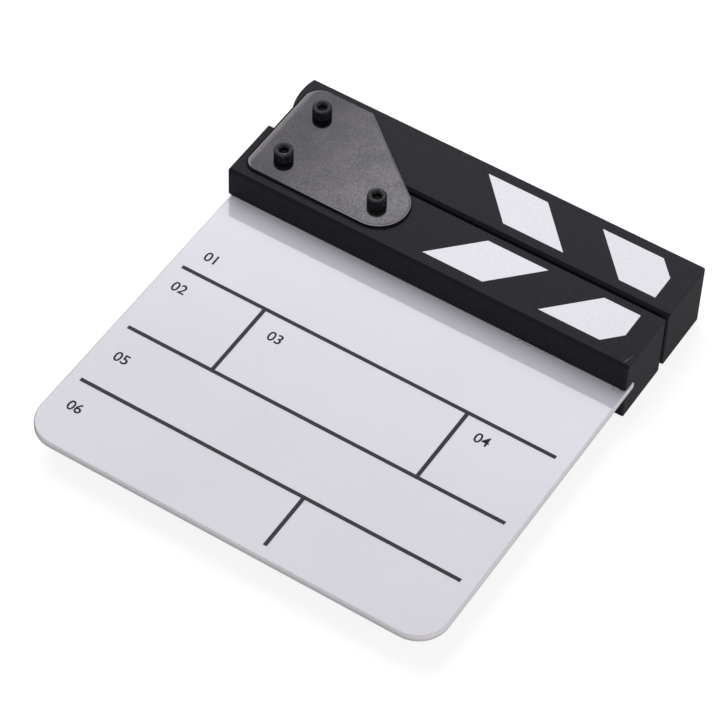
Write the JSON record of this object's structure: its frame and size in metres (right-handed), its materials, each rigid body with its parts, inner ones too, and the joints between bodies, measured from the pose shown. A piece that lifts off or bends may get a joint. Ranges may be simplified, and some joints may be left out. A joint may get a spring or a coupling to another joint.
{
  "type": "clapperboard",
  "caption": "Film clapperboard lying flat: ruled white board slotted into a black striped stick, and a matching striped stick that swings on a screwed metal hinge plate.",
  "frame": {"origin": "middle of the overall outline seen from above, on the surface that the sticks lie on", "axes": "+X along the sticks to their free end, +Y from the board's front edge to the sticks, +Z out of the written face"},
  "size_m": [0.1604, 0.1774, 0.0321],
  "materials": {
    "white_acrylic": "polished",
    "black_ink": "satin",
    "clear_adhesive": "gloss",
    "painted_wood": "matte black paint",
    "blackened_steel": "semi-gloss black",
    "black_oxide": "black oxide",
    "zinc_steel": "zinc plated",
    "nylon": "natural",
    "brass": "turned",
    "white_vinyl": "satin"
  },
  "bodies": {
    "base": {"slate_board": "white_acrylic", "printed_rules": "black_ink", "slot_adhesive": "clear_adhesive", "lower_stick": "painted_wood", "hinge_plate": "blackened_steel", "fixing_screw_left": "black_oxide", "fixing_screw_right": "black_oxide", "fixing_washer_left": "zinc_steel", "fixing_washer_right": "zinc_steel", "fixing_nut_left": "zinc_steel", "fixing_nut_right": "zinc_steel", "pivot_screw": "black_oxide", "pivot_front_washer": "nylon", "pivot_rear_washer": "zinc_steel", "pivot_lock_nut": "zinc_steel", "pivot_nut_ring": "nylon", "lower_stripe_inner": "white_vinyl", "lower_stripe_outer": "white_vinyl"},
    "clapper": {"upper_stick": "painted_wood", "pivot_bush": "brass", "upper_stripe_inner": "white_vinyl", "upper_stripe_outer": "white_vinyl"}
  },
  "joints": [
    {"name": "clapper_hinge", "type": "hinge", "parent": "base", "child": "clapper", "pos_m": [-0.06648, 0.07425, 0], "axis": [0, 0, 1], "range_deg": [-0.4, 80]}
  ]
}
